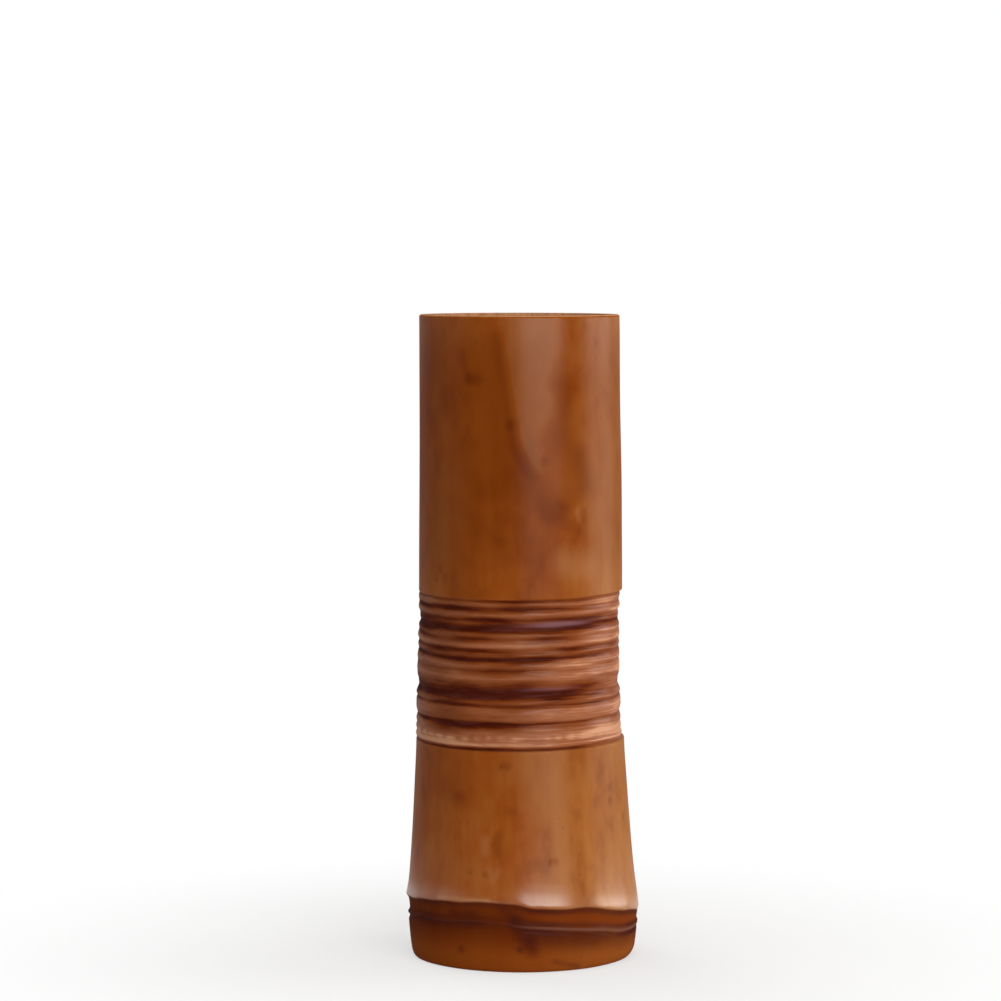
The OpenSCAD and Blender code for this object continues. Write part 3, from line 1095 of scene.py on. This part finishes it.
studio = {
    "radius": 3.2,  # of the room, in metres, with the vase at its middle
    "cove": 0.9,  # radius of the curve from floor to wall
    "coveSteps": 12,
    "wall": 3.0,
    "below": 0.0001,  # how far the floor lies under the foot
    "floorStart": 0.02,
    "floorRows": 24,
    "columns": 96,
    "white": 1.0,
    "floor": (0.86, 0.86, 0.86),
    "front": (0.36, 0.36, 0.36),
    "behind": (-1.1, -0.1),  # depths between which the room in front becomes that behind
    "shadow": (0.04, 0.26),  # distances from the vase over which the floor's shadow fades
    "shadowWhite": 0.55,  # how white the floor is where its shadow is strongest
    "world": 0.25,
    "aim": 0.125,  # height at which the lights point
}

# Lights: where they stand from the vase (degrees to the viewer's right of the camera,
# degrees up, metres away), their size in metres, power in watts and colour.
lights = {
    "key": (23, 9.5, 1.3, (1.0, 0.36), 15.0, (1.0, 0.98, 0.95)),
    "right": (102, 6, 1.2, (0.75, 0.5), 8.0, (1.0, 0.97, 0.93)),
    "left": (-74, 16, 1.4, (0.6, 0.6), 1.6, (1.0, 0.92, 0.84)),
    "back": (-145, 35, 1.6, (1.0, 1.0), 7.0, (1.0, 0.99, 0.97)),
    "top": (20, 82, 1.5, (1.0, 1.0), 8.0, (1.0, 1.0, 1.0)),
}


# The room's material: the camera sees it white, but as it is lit close to the vase, and
# the vase's gloss sees it white only behind the vase and grey in front.
def studioMaterial():
    s = studio
    g = Graph("studio")
    spread = g.add("ShaderNodeVectorMath", {"operation": "LENGTH"}, {0: g.place})
    distance = Number(g, spread.outputs["Value"])
    path = g.add("ShaderNodeLightPath").outputs
    apart = g.add("ShaderNodeSeparateXYZ", None, {0: g.place})
    behind = Number(g, apart.outputs["Y"]).between(*s["behind"])
    mirrored = Number(g, path["Is Glossy Ray"]) + Number(g, path["Is Transmission Ray"])
    seen = (Number(g, path["Is Camera Ray"]) + mirrored * behind).atMost(1.0)
    share = seen * (distance.between(*s["shadow"]) * (1 - s["shadowWhite"]) + s["shadowWhite"])
    grey = g.add("ShaderNodeBsdfDiffuse", None, {"Color": s["front"]})
    pale = g.add("ShaderNodeBsdfDiffuse", None, {"Color": s["floor"]})
    lit = g.add("ShaderNodeMixShader", None, {0: behind, 1: grey.outputs[0], 2: pale.outputs[0]})
    white = g.add("ShaderNodeEmission", None, {"Color": (1.0, 1.0, 1.0), "Strength": s["white"]})
    both = g.add("ShaderNodeMixShader", None, {0: share, 1: lit.outputs[0], 2: white.outputs[0]})
    g.add("ShaderNodeOutputMaterial", None, {"Surface": both.outputs[0]})
    return g.material


# Floor and wall in one turned surface: flat, then a quarter circle, then upright.
def buildStudio(material):
    s = studio
    bend = np.radians(np.linspace(0, 90, s["coveSteps"] + 1)[1:])
    flat = s["radius"] - s["cove"]
    floorRadius = np.geomspace(s["floorStart"], flat, s["floorRows"])
    radius = np.concatenate([floorRadius, flat + s["cove"] * np.sin(bend), [s["radius"]]])
    rise = s["cove"] * (1 - np.cos(bend))
    height = np.concatenate([np.zeros(s["floorRows"]), rise, [s["wall"]]]) - s["below"]
    points = turnedPoints(radius[:, None], columnAngles(s["columns"]), height[:, None]) / mm
    return gridObject("studio_room", points[::-1], False, {}, material)


# A square or oblong light that stands at an angle and a height, and points at the vase.
def addLight(name, right, up, away, size, power, colour):
    lamp = bpy.data.lights.new(name, "AREA")
    lamp.shape = "RECTANGLE"
    lamp.size, lamp.size_y = size
    lamp.energy = power
    lamp.color = colour
    made = placed(name, lamp)
    a, e = math.radians(right), math.radians(up)
    made.location = (
        away * math.cos(e) * math.sin(a),
        -away * math.cos(e) * math.cos(a),
        studio["aim"] + away * math.sin(e),
    )
    made.rotation_euler = (math.radians(90 - up), 0, math.radians(right))


room = buildStudio(studioMaterial())
for name, place in lights.items():
    addLight(name, *place)

world = bpy.data.worlds.new("studio_air")
world.use_nodes = True
air = world.node_tree.nodes["Background"].inputs
air["Color"].default_value = (1, 1, 1, 1)
air["Strength"].default_value = studio["world"]
bpy.context.scene.world = world

# Camera: its place in metres, degrees down from level, focal length and sensor's width in
# millimetres, and how far it sees in metres
view = {
    "place": (-0.0079, -1.4706, 0.2750),
    "down": 3.790,
    "lens": 136.15,
    "sensor": 36,
    "reach": 20,
}
lens = bpy.data.cameras.new("camera")
lens.lens = view["lens"]
lens.sensor_width = view["sensor"]
lens.clip_end = view["reach"]
camera = placed("camera", lens)
camera.location = view["place"]
camera.rotation_euler = (math.radians(90 - view["down"]), 0, 0)
bpy.context.scene.camera = camera
bpy.context.scene.view_settings.view_transform = "Standard"
print("studio ready")
